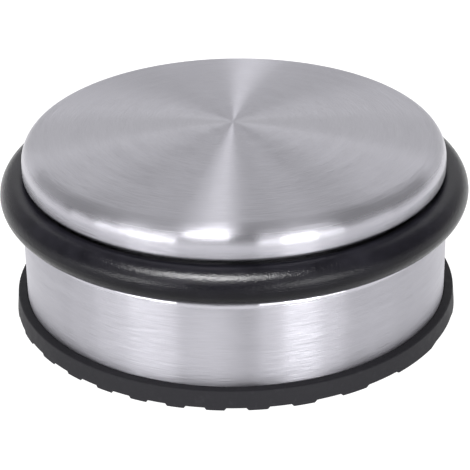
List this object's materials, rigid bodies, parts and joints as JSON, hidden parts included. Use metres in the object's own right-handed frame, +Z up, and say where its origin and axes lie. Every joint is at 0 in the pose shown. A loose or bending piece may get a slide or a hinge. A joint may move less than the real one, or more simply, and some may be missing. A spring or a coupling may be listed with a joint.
{
  "type": "floor door stop",
  "caption": "Round weighted floor door stop: brushed steel cover shell over an iron casting, a rubber bumper ring in a rolled groove and a ribbed rubber foot.",
  "frame": {"origin": "on the floor, at the middle of the rubber foot", "axes": "+Z up along the body's axis of revolution; -Y is the side seen from the front"},
  "size_m": [0.1096, 0.1096, 0.0456],
  "materials": {
    "brushed_shell": "turned brushed top, side brushed round its axis",
    "ring_rubber": "smooth moulded, faint grain",
    "foot_rubber": "matt moulded",
    "tape": "matt double-sided adhesive tape",
    "zinc_plate": "zinc plated",
    "screw_steel": "zinc plated",
    "iron_casting": "raw sand casting",
    "foam": "closed-cell foam"
  },
  "bodies": {
    "root": {"cover_shell": "brushed_shell", "bumper_ring": "ring_rubber", "foot_pad": "foot_rubber", "foot_tape": "tape", "base_plate": "zinc_plate", "base_screws": "screw_steel", "ballast_core": "iron_casting", "dome_pad": "foam"}
  },
  "joints": []
}
